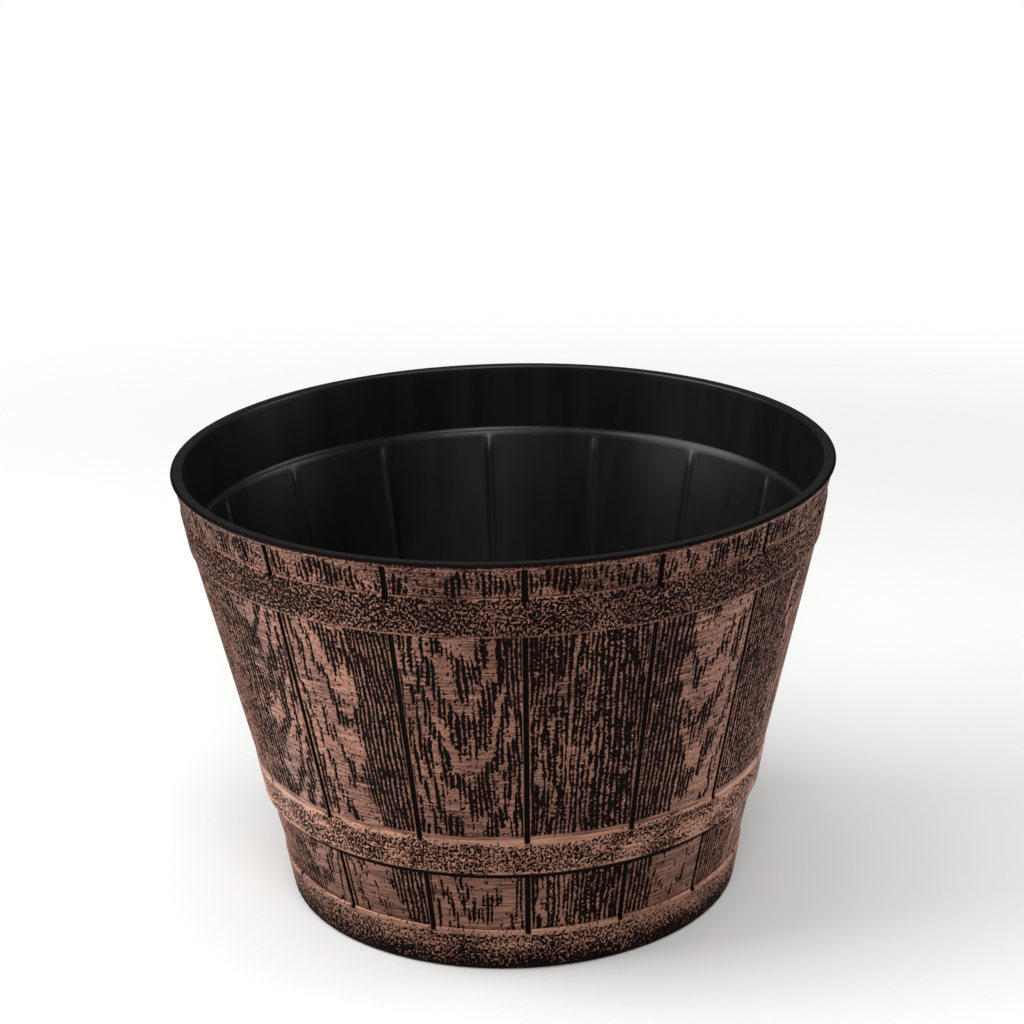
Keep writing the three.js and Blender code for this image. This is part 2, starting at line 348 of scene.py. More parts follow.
base_plate.data.materials.clear()
base_plate.data.materials.append(black_plastic)
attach(base_plate, "barrel")
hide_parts("barrel_shell")

# ---- Long staves -----------------------------------------------------------------------------------------
# The tall field between the two hoops, moulded in the likeness of sixteen oak staves: flat-floored seams,
# zones of close parallel grain, arched grain broken into short strokes, and bare patches between them.

LOWER_HOOP_TOP = 71.8
UPPER_HOOP_BOTTOM = 175.3
SEAM_HALF = 1.4                 # half the seam's width at the surface
SEAM_FLOOR_HALF = 0.9
SEAM_DEPTH = 1.3
SEAM_COLUMNS = (0.0, SEAM_FLOOR_HALF / 2, SEAM_FLOOR_HALF, (SEAM_FLOOR_HALF + SEAM_HALF) / 2, SEAM_HALF)
FACE_COLUMNS = 104
ROW_SPACING = 0.5
GRAIN_DEPTH = 0.7
GRAIN_STOP = 1.2                # the grain stops this far above a hoop
GRAIN_FADE = 1.0                # and fades in over this height above that
FACE_PROUD = 0.2                # height of the bare wood over the line of the staves
SWELL = 0.12                    # slow swelling of each board
FIELD_PIECES = 8
WAVE_GAIN = 1.6                 # brings the highest waves to about 1

SEED = 41
dice = np.random.default_rng(SEED)


def lattice_direction(column, row, seed):
    """Random direction for each point of a square lattice, from the mixed bits of its two numbers."""
    bits = column.astype(np.int64) * 0x9E3779B1 + row.astype(np.int64) * 0x85EBCA77 + seed * 0x27D4EB2F
    bits = bits.astype(np.uint32)
    for shift, factor in ((15, 0x2C1B3C6D), (12, 0x297A2D39)):
        bits ^= bits >> np.uint32(shift)
        bits *= np.uint32(factor)
    bits ^= bits >> np.uint32(15)
    return bits * (2 * np.pi / 2 ** 32)


def waves(x, y, seed, around=None):
    """Smooth random waves about 0, mostly within -1 and 1, one lattice cell long (gradient noise).

    Each corner of a cell has a slope in its own direction, and the four are blended by 6t^5 - 15t^4 + 10t^3.
    Each pattern has a seed of its own. around is the number of cells to a full ring, where x starts again.
    """
    x, y = np.broadcast_arrays(x, y)
    cell_x, cell_y = np.floor(x), np.floor(y)
    part_x, part_y = x - cell_x, y - cell_y
    ease_x, ease_y = (t * t * t * (t * (t * 6 - 15) + 10) for t in (part_x, part_y))
    total = np.zeros(x.shape)
    for step_x in (0, 1):
        column = cell_x + step_x
        if around is not None:
            column = column % around
        for step_y in (0, 1):
            direction = lattice_direction(column, cell_y + step_y, seed)
            slope = np.cos(direction) * (part_x - step_x) + np.sin(direction) * (part_y - step_y)
            share_x = ease_x if step_x else 1 - ease_x
            share_y = ease_y if step_y else 1 - ease_y
            total += slope * share_x * share_y
    return total * WAVE_GAIN


def ramp(value, start, end):
    """Eased step from 0 at start to 1 at end."""
    t = np.clip((value - start) / (end - start), 0, 1)
    return t * t * (3 - 2 * t)


def rows_between(stations, spacing=ROW_SPACING):
    """Heights of the rows: every station, with the stretches between them split evenly."""
    parts = [np.linspace(a, b, max(1, round((b - a) / spacing)), endpoint=False)
             for a, b in zip(stations[:-1], stations[1:])]
    return np.concatenate((*parts, [stations[-1]]))


def seam_dip(from_seam):
    """Share of the seam's depth: 1 on its flat floor, falling to 0 at its edges."""
    return np.clip((SEAM_HALF - from_seam) / (SEAM_HALF - SEAM_FLOOR_HALF), 0, 1)


def seam_grain(from_seam):
    """Share of the grain beside a seam, where it runs out."""
    return ramp(from_seam, SEAM_HALF - 0.1, SEAM_HALF + 0.5)


def seam_paint(from_seam):
    """Share of the paint beside a seam: the cloth passes over the seam and misses its slopes."""
    return ramp(from_seam, SEAM_HALF - 0.35, SEAM_HALF + 0.05)


# Each stave's own board, numbered from the seam on +X. The close grain lies along the board's left (-1) or
# right (1) side, as wide as given. A rough board is pitted all over, a bare one has wide bare patches among
# its arches, and a beaded one has a second line by its seam. Dice draw the rest: the heart of the arches,
# their bend and pitch, and the pitch of the close grain.
BOARD_CLOSE_SIDE = np.array((-1, 1, 1, -1, 1, -1, -1, 1, 1, -1, 1, 1, 1, -1, -1, 1))
BOARD_CLOSE_WIDTH = np.array((16, 9, 20, 5, 14, 22, 8, 17, 30, 26, 19, 5, 24, 20, 38, 12))
BOARD_ROUGH = np.isin(np.arange(STAVES), (3, 6, 12)).astype(float)
BOARD_BARENESS = np.where(np.isin(np.arange(STAVES), (1, 4, 7, 10, 13, 15)), 0.5, 0.0)
BOARD_BEADED = np.isin(np.arange(STAVES), (0, 2, 5, 7, 10, 12, 15)).astype(float)
board_heart = dice.uniform(-6, 3, STAVES) * BOARD_CLOSE_SIDE
board_bend = dice.uniform(0.09, 0.16, STAVES)
board_arch_pitch = dice.uniform(23, 34, STAVES)
board_line_pitch = dice.uniform(2.0, 2.5, STAVES)
BEAD_PLACE = 2.6                # second line, from the middle of the seam
BEAD_HALF = 0.5
RIDGE_PLACE = -7.5              # ridge of a rough board, from its middle
RIDGE_HALF = 0.6


def oak_grain(across, width, stave, z, bareness=0.0):
    """Depth of the grain, from 0 on bare wood to 1 in a groove. bareness thins out the arches' strokes.

    Close grain is a cosine across the stave, with a slow wander and ragged edges. Arched grain is a set of
    parabolas z = bend (x - heart)^2: along them the upright lines show as short strokes, and between them
    the wood is bare. Rough boards have wavy, pitted lines, one long bare ridge, and a few ticks across.
    """
    x = across - width / 2
    lane = x + 100 * stave
    wander = 1.3 * waves(lane / 17, z / 50, 1) + 0.5 * waves(lane / 4, z / 16, 2)
    ragged = waves(lane / 1.2, z / 1.2, 3)
    fibre = waves((lane + wander) / 1.6, z / 9, 4)
    flaw = waves((lane + wander) / 2.4, z / 5, 15)
    lines = np.cos(2 * np.pi * (x + wander) / board_line_pitch[stave])
    close = 0.75 * lines + 0.6 * ragged + 0.5 * fibre + 0.4 * flaw + 0.35

    arch = (-z + board_bend[stave] * (x - board_heart[stave]) ** 2) / board_arch_pitch[stave]
    arch = np.cos(2 * np.pi * (arch + 0.35 * waves(lane / 7, z / 14, 5)))
    patch = waves(lane / 9, z / 26, 6)
    fine_lines = np.cos(2 * np.pi * (x + 1.4 * wander) / 2.3)
    strokes = 0.4 * fine_lines + 0.8 * fibre + 0.7 * ragged + 0.5 * flaw + 0.9 * arch + 0.8 * patch
    between = 0.55 + 0.8 * fine_lines + 0.6 * ragged
    strokes = np.minimum(strokes + 0.05 - bareness - BOARD_BARENESS[stave], between)
    dots = 2.2 * (waves(lane / 1.7, z / 1.9, 7) - 0.6)
    strokes = np.maximum(strokes, dots)

    ridge = np.exp(-((x - RIDGE_PLACE - 1.2 * waves(stave + 0.5, z / 16, 8)) / RIDGE_HALF) ** 2)
    tick = np.exp(-(waves(lane / 12, z / 6, 9) / 0.03) ** 2) * ramp(waves(lane / 6, z / 9, 13), 0.0, 0.3)
    wavy = np.cos(2 * np.pi * (x + 1.5 * wander + 0.35 * ragged) / 2.2)
    rough = 0.6 * wavy + 0.7 * ragged + 0.5 * fibre + 0.4 * flaw + 0.3 * patch + 0.3
    rough = rough - 1.5 * ridge - 1.1 * tick

    side = BOARD_CLOSE_SIDE[stave]
    from_side = np.where(side < 0, across, width - across)
    edge = BOARD_CLOSE_WIDTH[stave] * (1 - 0.5 * bareness) + 5 * waves(z / 24, stave + 0.5, 10)
    in_close = 1 - ramp(from_side, edge - 2, edge + 2)
    in_rough = BOARD_ROUGH[stave] * ramp(waves(lane / 9, z / 40, 11), -0.45, -0.15) * (1 - 0.7 * in_close)
    grain = in_close * close + (1 - in_close) * strokes
    grain = (1 - in_rough) * grain + in_rough * rough
    from_bead = np.abs(across - BEAD_PLACE)
    second_line = BOARD_BEADED[stave] * (1 - ramp(from_bead, BEAD_HALF - 0.3, BEAD_HALF + 0.2))
    grain = np.maximum(grain, second_line * (0.5 + 0.8 * waves(stave + 0.5, z / 18, 14)))
    return ramp(grain, -0.12, 0.25)


def rubbed_copper_paint():
    """Black polypropylene with copper paint rubbed over it by hand: matt metallic copper on what stands
    proud, worn through in fine streaks that run round the pot, and satin black left in every groove."""
    material, tree, shader = new_material("copper_paint_rubbed_on_black_polypropylene")
    place = add_node(tree, "TexCoord").outputs["Object"]
    paint_and_painted_light = add_node(tree, "Attribute", attribute_name="copper_and_painted_light").outputs["Fac"]
    # The specks are 0.9 mm across, the streaks 14 mm long and 0.8 mm high, and the clouds 36 mm across.
    speck = add_node(tree, "TexNoise", {"Vector": place, "Scale": 1100.0, "Detail": 2.0}).outputs[0]
    streak_place = add_node(tree, "Mapping", {"Vector": place, "Scale": (70, 70, 1300)}).outputs[0]
    streak = add_node(tree, "TexNoise", {"Vector": streak_place, "Scale": 1.0, "Detail": 3.0}).outputs[0]
    cloud = add_node(tree, "TexNoise", {"Vector": place, "Scale": 28.0, "Detail": 3.0}).outputs[0]

    ragged = add_node(tree, "MapRange", {0: speck, 1: 0.3, 2: 0.7, 3: -0.3, 4: 0.3}).outputs[0]
    edge = add_node(tree, "Math", {0: paint_and_painted_light, 1: ragged}, operation="ADD").outputs[0]
    painted = add_node(tree, "MapRange", {0: edge, 1: 0.35, 2: 0.75},
                       interpolation_type="SMOOTHSTEP").outputs[0]
    worn = add_node(tree, "MapRange", {0: streak, 1: 0.32, 2: 0.55, 3: 0.72, 4: 1.0}).outputs[0]
    coat = add_node(tree, "Math", {0: painted, 1: worn}, operation="MULTIPLY").outputs[0]

    load = add_node(tree, "MapRange", {0: cloud, 1: 0.35, 2: 0.65}).outputs[0]
    thin = add_node(tree, "Mix", {0: load, 6: linear_colour("#462f29"), 7: linear_colour("#805b4e")},
                    data_type="RGBA").outputs[2]
    rubbed = add_node(tree, "MapRange", {0: streak, 1: 0.4, 2: 0.75}).outputs[0]
    plain = add_node(tree, "Mix", {0: rubbed, 6: thin, 7: linear_colour("#9d7262")},
                     data_type="RGBA").outputs[2]
    # Above 1 the coat is fuller and the copper brighter: a painted highlight on the lower hoop, short staves
    # and foot band.
    fullness_and_highlight = add_node(tree, "MapRange", {0: paint_and_painted_light, 1: 1.0, 2: 1.4, 3: 0.0, 4: 0.6}).outputs[0]
    copper_and_painted_light = add_node(tree, "Mix", {0: fullness_and_highlight, 6: plain, 7: linear_colour("#cc9a80")},
                      data_type="RGBA").outputs[2]
    colour = add_node(tree, "Mix", {0: coat, 6: linear_colour("#0e0605"), 7: copper_and_painted_light},
                      data_type="RGBA").outputs[2]
    metal = add_node(tree, "Math", {0: coat, 1: 0.75}, operation="MULTIPLY").outputs[0]
    roughness = add_node(tree, "MapRange", {0: coat, 3: 0.6, 4: 0.48}).outputs[0]
    relief = add_node(tree, "Math", {0: streak, 1: speck}, operation="ADD").outputs[0]
    bump = add_node(tree, "Bump", {"Height": relief, "Strength": 0.5, "Distance": 0.00006}).outputs[0]
    tree.links.new(colour, shader.inputs["Base Color"])
    tree.links.new(metal, shader.inputs["Metallic"])
    tree.links.new(roughness, shader.inputs["Roughness"])
    tree.links.new(bump, shader.inputs["Normal"])
    shader.inputs["Specular IOR Level"].default_value = 0.03
    return material


rubbed_copper = rubbed_copper_paint()


def add_outer_skin(name, radius, z, angle, copper_and_painted_light, back_z, wraps=True):
    """Painted outer skin of a stretch of the wall, closed by a hidden back on the core line.

    back_z holds the heights of that back, from its top down.
    """
    columns = radius.shape[1]
    back_z = np.array(back_z)[:, None]
    back_radius = core_line(back_z) - OVERLAP
    all_radius = np.vstack((radius, np.repeat(back_radius, columns, axis=1)))
    all_z = np.vstack((np.broadcast_to(z, radius.shape), np.repeat(back_z, columns, axis=1)))
    all_angle = np.vstack((angle, np.repeat(angle[-1:], len(back_z) - 1, axis=0), angle[:1]))
    piece = add_skin(name, all_radius, all_z, all_angle, wraps, smooth_rows=len(radius) - 1, copper_and_painted_light=copper_and_painted_light)
    piece.data.materials.append(rubbed_copper)
    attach(piece, "barrel")
    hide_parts("barrel_shell")


field_z = rows_between((LOWER_HOOP_TOP, UPPER_HOOP_BOTTOM))[:, None]
across, width, stave = stave_columns(stave_line(field_z[:, 0]), SEAM_COLUMNS, FACE_COLUMNS)
from_seam = np.minimum(across, width - across)
grain_foot = LOWER_HOOP_TOP + GRAIN_STOP
grain = oak_grain(across, width, stave, field_z) * seam_grain(from_seam)
grain = grain * ramp(field_z, grain_foot, grain_foot + GRAIN_FADE)
swell = SWELL * waves((across + 100 * stave) / 15, field_z / 40, 12)
face = stave_line(field_z) + FACE_PROUD + swell
field_radius = face - GRAIN_DEPTH * grain - SEAM_DEPTH * seam_dip(from_seam)
field_copper = (1 - grain) * seam_paint(from_seam)
field_angle = column_angle(across, width, stave)
piece_columns = field_radius.shape[1] // FIELD_PIECES
for piece_number in range(FIELD_PIECES):
    chosen = piece_number * piece_columns + np.arange(piece_columns + 1)
    lap = chosen // field_radius.shape[1]
    chosen = chosen % field_radius.shape[1]
    add_outer_skin(f"long_staves_{piece_number + 1}", field_radius[:, chosen], field_z,
                   field_angle[:, chosen] + lap * 2 * np.pi, field_copper[:, chosen],
                   (UPPER_HOOP_BOTTOM, LOWER_HOOP_TOP), wraps=False)

# ---- Rim staves and the bead of the lip ------------------------------------------------------------------
# The short ends of the staves above the upper hoop, with short upright strokes and bare patches, and the
# smooth rounded bead that ends the moulding. The paint runs out on the bead, so the lip is black.

UPPER_HOOP_TOP = 194.1
BEAD_BOTTOM = TOP - 2.4
SEAM_RUN_OUT = 1.5
RIM_COAT_AND_SHADE = 0.6                  # the bead keeps the cloth off the rim, which leaves a thinner coat; the darker rim is also painted shade of the lip
RIM_GRAIN_DEPTH = 0.6
RIM_BACK_TOP = TOP - 0.2
PAINT_THINS = 1.3               # the paint thins out from this far under the lip's top
PAINT_ENDS = 0.9


def rim_grain(across, width, stave, z):
    """Depth of the rim's grain: upright strokes 2.5 mm apart, gathered in groups with bare wood between."""
    x = across - width / 2
    lane = x + 100 * stave
    wander = 1.1 * waves(lane / 6, z / 14, 21)
    lines = np.cos(2 * np.pi * (x + wander) / 2.5)
    fibre = waves((lane + wander) / 1.8, z / 5.5, 22)
    ragged = waves(lane / 1.2, z / 1.3, 23)
    groups = waves(lane / 8, z / 14, 24)
    strokes = 0.5 * lines + 1.2 * fibre + 0.6 * ragged + 1.2 * groups - 0.15
    strokes = np.minimum(strokes, 0.45 + lines + 0.5 * ragged)
    over_hoop = ramp(z, UPPER_HOOP_TOP + 0.8, UPPER_HOOP_TOP + 2)
    under_bead = 1 - ramp(z, BEAD_BOTTOM - 2.5, BEAD_BOTTOM - 1)
    return ramp(strokes - 0.6 * (1 - over_hoop * under_bead), -0.1, 0.25)


bead = quarter_round(LIP_RADIUS - LIP_EDGE, TOP - LIP_EDGE, LIP_EDGE, 0, 90, 6)
rim_stations = (UPPER_HOOP_TOP, BEAD_BOTTOM - SEAM_RUN_OUT, BEAD_BOTTOM)
rim_z = np.concatenate((rows_between(rim_stations), bead[:, 1]))
rim_line = np.concatenate((stave_line(rim_z[:-len(bead)]) - RIM_SET_BACK, bead[:, 0]))
rim_z = rim_z[:, None]
across, width, stave = stave_columns(rim_line, SEAM_COLUMNS, FACE_COLUMNS)
from_seam = np.minimum(across, width - across)
below_bead = 1 - ramp(rim_z, BEAD_BOTTOM - SEAM_RUN_OUT, BEAD_BOTTOM)
off_seam = ramp(from_seam, SEAM_HALF + 0.4, SEAM_HALF + 1.2)
grain = rim_grain(across, width, stave, rim_z) * off_seam * below_bead
rim_radius = rim_line[:, None] - RIM_GRAIN_DEPTH * grain - SEAM_DEPTH * seam_dip(from_seam) * below_bead
beside_seam = 1 - (1 - seam_paint(from_seam)) * below_bead
up_to_bead = np.interp(rim_z, (TOP - PAINT_THINS, TOP - PAINT_ENDS), (1.0, 0.0))
# The rim's paint is lowered: a thinner coat, and painted shade under the lip.
rim_copper_and_shade = RIM_COAT_AND_SHADE * (1 - grain) * beside_seam * up_to_bead
add_outer_skin("rim_staves", rim_radius, rim_z, column_angle(across, width, stave), rim_copper_and_shade,
               (RIM_BACK_TOP, UPPER_HOOP_TOP))

# ---- Hoops -----------------------------------------------------------------------------------------------
# Two bands moulded in the likeness of hammered iron hoops. Each stands proud at its bottom edge, and the
# seams above notch its top edge. The upper one is closely pitted, and the lower one has bare patches and a
# bare top edge.

LOWER_HOOP_BOTTOM = 52.0
FOOT_STAVE_SET_BACK = 0.5
UPPER_HOOP_PROUD = 0.9
LOWER_HOOP_PROUD = 1.3
LOWER_HOOP_TOP_PROUD = 0.5
HOOP_UNDERCUT = 1.6             # height of the slope under a hoop's bottom edge
HOOP_BEVEL = 1.2
HOOP_NOTCH = 2.4
NOTCH_FULL = 0.4                # a notch is cut in full this far under the bevel
FAR_OUT = (1.0, 1.6)            # overhang at which an edge starts to keep the paint off its slope, and does; the black is partly painted shade
PIT_CELL = 0.95                 # half the distance between two hammered pits
PIT_STRETCH = 1.2               # the pits are this much longer upright than across
PIT_DEPTH = 0.4
MOST_PITTED = 0.62              # share of pits beyond which a hoop would turn all black
UPPER_HOOP_COAT = 1.0
LOWER_HOOP_COAT_AND_HIGHLIGHT = 1.25          # the lower hoop and the foot stand out and took more paint; the brighter copper is also painted highlight
HOOP_COLUMNS = 116
HOOP_ROW_SPACING = 0.45


def hammered_pits(angle, line, z, seed, cover):
    """Depth of the wormy pits, from 0 to 1: the hollows of warped noise, which cover about the share asked.

    line is the band's radius on each row, and gives the number of pits that go round it.
    """
    cells = 2 * round(np.pi * float(np.mean(line)) / PIT_CELL)
    x = angle / (2 * np.pi) * cells
    y = z / (PIT_STRETCH * PIT_CELL)
    bend_x = 0.7 * waves(x / 2, y / 2, seed, around=cells // 2)
    bend_y = 0.7 * waves(x / 2, y / 2, seed + 1, around=cells // 2)
    worms = waves(x + bend_x, y + bend_y, seed + 2, around=cells)
    return ramp(worms, 0.34 - 0.8 * cover, 0.5 - 0.8 * cover)


def seam_notch(from_seam, z, bevel):
    """Notch that a seam cuts into a band's top edge: its share at each height, from 0 to 1, and the distance
    from its middle, which makes it narrower lower down."""
    notch = ramp(z, bevel - HOOP_NOTCH, bevel - NOTCH_FULL)
    return notch, from_seam + SEAM_HALF * (1 - notch)


def waves_round_pot(angle, z, count, height, seed):
    """Slow waves that close round the pot: count lattice cells to a turn, each as tall as given."""
    return waves(angle / (2 * np.pi) * count, z / height, seed, around=count)


def add_hoop(name, bottom, top, proud, seed, cover, coat, back_z):
    """Hoop between two heights, with its seed of pits and its coat of paint.

    proud is how far it stands from the stave line: the staves below it, its face at its bottom and top
    edges, and the staves above it. cover gives the share of pits at an angle and a height, and back_z the
    heights of the hidden back. A coat above 1 is brighter copper, which is also a painted highlight.
    """
    undercut = bottom + HOOP_UNDERCUT
    bevel = top - HOOP_BEVEL
    z = rows_between((bottom, undercut, bevel - HOOP_NOTCH, bevel, top), HOOP_ROW_SPACING)
    line = stave_line(z) + np.interp(z, (bottom, undercut, bevel, top), proud)
    z = z[:, None]
    across, width, stave = stave_columns(line, SEAM_COLUMNS, HOOP_COLUMNS)
    angle = column_angle(across, width, stave)
    from_seam = np.minimum(across, width - across)
    pits = hammered_pits(angle, line, z, seed, cover(angle, z))
    notch, from_notch = seam_notch(from_seam, z, bevel)
    dip = notch * seam_dip(from_notch)
    radius = line[:, None] - PIT_DEPTH * pits * (1 - dip) - SEAM_DEPTH * dip
    # Under a deep overhang the slope is left black: partly unpainted, and partly painted shade of the hoop's
    # edge.
    under = ramp(proud[1] - proud[0], *FAR_OUT) * (1 - ramp(z, undercut - 0.2, undercut + 0.2))
    copper_and_painted_light = coat * (1 - pits) * (1 - notch * (1 - seam_paint(from_notch))) * (1 - under)
    add_outer_skin(name, radius, z, angle, copper_and_painted_light, back_z)


def upper_cover(angle, z):
    """Pits crowd the upper hoop, and thin out at its two edges."""
    edges = ramp(z, UPPER_HOOP_BOTTOM, UPPER_HOOP_BOTTOM + 1.2)
    edges = edges * (1 - ramp(z, UPPER_HOOP_TOP - 1.0, UPPER_HOOP_TOP))
    return 0.8 * edges - 0.1 + 0.15 * waves_round_pot(angle, z, 40, 14, 31)


def lower_cover(angle, z):
    """Pits leave the lower hoop bare in patches and along its top edge."""
    edges = ramp(z, LOWER_HOOP_BOTTOM + HOOP_UNDERCUT, LOWER_HOOP_BOTTOM + 2 * HOOP_UNDERCUT)
    edges = edges * (1 - ramp(z, LOWER_HOOP_TOP - 3.4, LOWER_HOOP_TOP - 1.6))
    patches = waves_round_pot(angle, z, 40, 11, 32)
    return np.minimum(0.75 * edges + 0.8 * patches - 0.12, MOST_PITTED)


add_hoop(
    "upper_hoop", UPPER_HOOP_BOTTOM, UPPER_HOOP_TOP,
    proud=(0.0, UPPER_HOOP_PROUD, 0.0, -RIM_SET_BACK),
    seed=51, cover=upper_cover, coat=UPPER_HOOP_COAT,
    back_z=(UPPER_HOOP_TOP, CORE_BENDS[1], UPPER_HOOP_BOTTOM),
)
add_hoop(
    "lower_hoop", LOWER_HOOP_BOTTOM, LOWER_HOOP_TOP,
    proud=(-FOOT_STAVE_SET_BACK, LOWER_HOOP_PROUD, LOWER_HOOP_TOP_PROUD, FACE_PROUD),
    seed=61, cover=lower_cover, coat=LOWER_HOOP_COAT_AND_HIGHLIGHT,
    back_z=(LOWER_HOOP_TOP, LOWER_HOOP_BOTTOM),
)

# ---- Short staves ----------------------------------------------------------------------------------------
# The feet of the staves, between the lower hoop and the foot band, with the same oak grain and seams. Close
# under the hoop they stay black, partly because the cloth doesn't reach in there and partly as painted shade
# of the hoop.

FOOT_BAND_TOP = 21.8
SHORT_STAVE_COAT_AND_HIGHLIGHT = 1.2          # nearly as full a coat of paint as on the lower hoop; its brighter copper is also painted highlight
SHORT_ROW_SPACING = 0.6
SHORT_BARENESS = 0.5
UNDER_HOOP_SHADE = (1.9, 1.2)         # depths under the hoop between which the paint thins out, partly as painted shade of the hoop

short_z = rows_between((FOOT_BAND_TOP, LOWER_HOOP_BOTTOM), SHORT_ROW_SPACING)[:, None]
short_line = stave_line(short_z) - FOOT_STAVE_SET_BACK
across, width, stave = stave_columns(short_line[:, 0], SEAM_COLUMNS, FACE_COLUMNS)
from_seam = np.minimum(across, width - across)
grain = oak_grain(across, width, stave, short_z, SHORT_BARENESS) * seam_grain(from_seam)
short_radius = short_line - GRAIN_DEPTH * grain - SEAM_DEPTH * seam_dip(from_seam)
# Close under the hoop the paint is taken off: partly beyond the cloth's reach, and partly painted shade.
in_reach_and_unshaded = 1 - ramp(short_z, LOWER_HOOP_BOTTOM - UNDER_HOOP_SHADE[0], LOWER_HOOP_BOTTOM - UNDER_HOOP_SHADE[1])
short_copper_shade_and_highlight = SHORT_STAVE_COAT_AND_HIGHLIGHT * (1 - grain) * seam_paint(from_seam) * in_reach_and_unshaded
add_outer_skin("short_staves", short_radius, short_z, column_angle(across, width, stave), short_copper_shade_and_highlight,
               (LOWER_HOOP_BOTTOM, FOOT_BAND_TOP))

# ---- Foot band and standing ring -------------------------------------------------------------------------
# The band around the foot, pitted like a hoop, turns under in a rounded corner to the flat ring that the
# planter stands on. The paint stops at the corner, where the cloth didn't reach.

# The foot band's fuller coat makes its copper brighter, which is also painted highlight.
FOOT_COAT_AND_HIGHLIGHT = 1.2
FOOT_SEED = 73
FOOT_CORNER = 3.2
FOOT_BOTTOM_PROUD = 1.3
FOOT_TOP_PROUD = 0.5
RING_WIDTH = 7.0
RECESS_SLOPE = 2.5
LEAN = np.arctan2(TOP_LINE - FOOT_LINE, TOP)

corner_radius = stave_line(FOOT_CORNER) + FOOT_BOTTOM_PROUD - FOOT_CORNER * np.cos(LEAN)
corner = quarter_round(corner_radius, FOOT_CORNER, FOOT_CORNER, -90, -np.degrees(LEAN), 9)
ring_inside = corner_radius - RING_WIDTH
under = np.array(((ring_inside - RECESS_SLOPE, BASE_BOTTOM + OVERLAP), (ring_inside, 0.0)))
corner_end_radius, corner_end_z = corner[-1]
foot_bevel = FOOT_BAND_TOP - HOOP_BEVEL
band_z = rows_between((corner_end_z, foot_bevel - HOOP_NOTCH, foot_bevel, FOOT_BAND_TOP))[1:]
band_proud = np.interp(band_z, (corner_end_z, foot_bevel, FOOT_BAND_TOP),
                       (corner_end_radius - stave_line(corner_end_z), FOOT_TOP_PROUD, -FOOT_STAVE_SET_BACK))
foot_z = np.concatenate((under[:, 1], corner[:, 1], band_z))[:, None]
foot_line = np.concatenate((under[:, 0], corner[:, 0], stave_line(band_z) + band_proud))
across, width, stave = stave_columns(foot_line, SEAM_COLUMNS, FACE_COLUMNS)
angle = column_angle(across, width, stave)
from_seam = np.minimum(across, width - across)
foot_cover = 1.0 - 0.55 * ramp(foot_z, 4, 16) + 0.3 * waves_round_pot(angle, foot_z, 36, 12, 71)
foot_cover = foot_cover - 0.6 * ramp(foot_z, FOOT_BAND_TOP - 3.6, FOOT_BAND_TOP - 2.2)
pits = hammered_pits(angle, foot_line[len(under):], foot_z, FOOT_SEED, foot_cover) * ramp(foot_z, 0.5, 4.0)
notch, from_notch = seam_notch(from_seam, foot_z, foot_bevel)
foot_radius = foot_line[:, None] - PIT_DEPTH * pits - SEAM_DEPTH * notch * seam_dip(from_notch)
beside_notch = 1 - notch * (1 - seam_paint(from_notch))
foot_copper_and_highlight = FOOT_COAT_AND_HIGHLIGHT * (1 - pits) * beside_notch * ramp(foot_z, 0.5, 5.0)
add_outer_skin("foot_band", foot_radius, foot_z, angle, foot_copper_and_highlight, (FOOT_BAND_TOP, BASE_BOTTOM + OVERLAP))

# ---- Drain plugs -----------------------------------------------------------------------------------------
# Four push-in plugs of black rubber: a flange with a softened edge and a shallow dish, and a hollow stem
# that narrows down through the drain hole. Moulded, so matt, with a slight grey bloom.

FLANGE = 1.5
FLANGE_EDGE = 0.4
DISH_DEPTH = 0.5
DISH_RADIUS = 3.8
DISH_SLOPE = 1.2                # width of the slope down to the dish's bottom
DISH_EDGE = (0.3, 0.1)          # width and depth of the softening around it
STEM_CLEARANCE = 0.3
STEM_TAPER = 0.6
STEM_WALL = 1.4
STEM_LEAD = 0.6


def moulded_rubber():
    """Matt black rubber: almost no sheen, with a cloudy grey bloom and the fine grain of a blasted mould."""
    material, tree, shader = new_material("moulded_black_rubber")
    place = add_node(tree, "TexCoord").outputs["Object"]
    # The clouds of the bloom are 6 mm across, and the blasted grains 0.4 mm.
    bloom = add_node(tree, "TexNoise", {"Vector": place, "Scale": 160.0, "Detail": 4.0}).outputs[0]
    grit = add_node(tree, "TexNoise", {"Vector": place, "Scale": 2500.0, "Detail": 2.0}).outputs[0]
    colour = add_node(tree, "Mix", {0: bloom, 6: linear_colour("#161617"), 7: linear_colour("#2c2d2f")},
                      data_type="RGBA").outputs[2]
    roughness = add_node(tree, "MapRange", {0: bloom, 3: 0.62, 4: 0.8}).outputs[0]
    bump = add_node(tree, "Bump", {"Height": grit, "Strength": 0.3, "Distance": 0.00005}).outputs[0]
    tree.links.new(colour, shader.inputs["Base Color"])
    tree.links.new(roughness, shader.inputs["Roughness"])
    tree.links.new(bump, shader.inputs["Normal"])
    shader.inputs["IOR"].default_value = 1.52
    return material


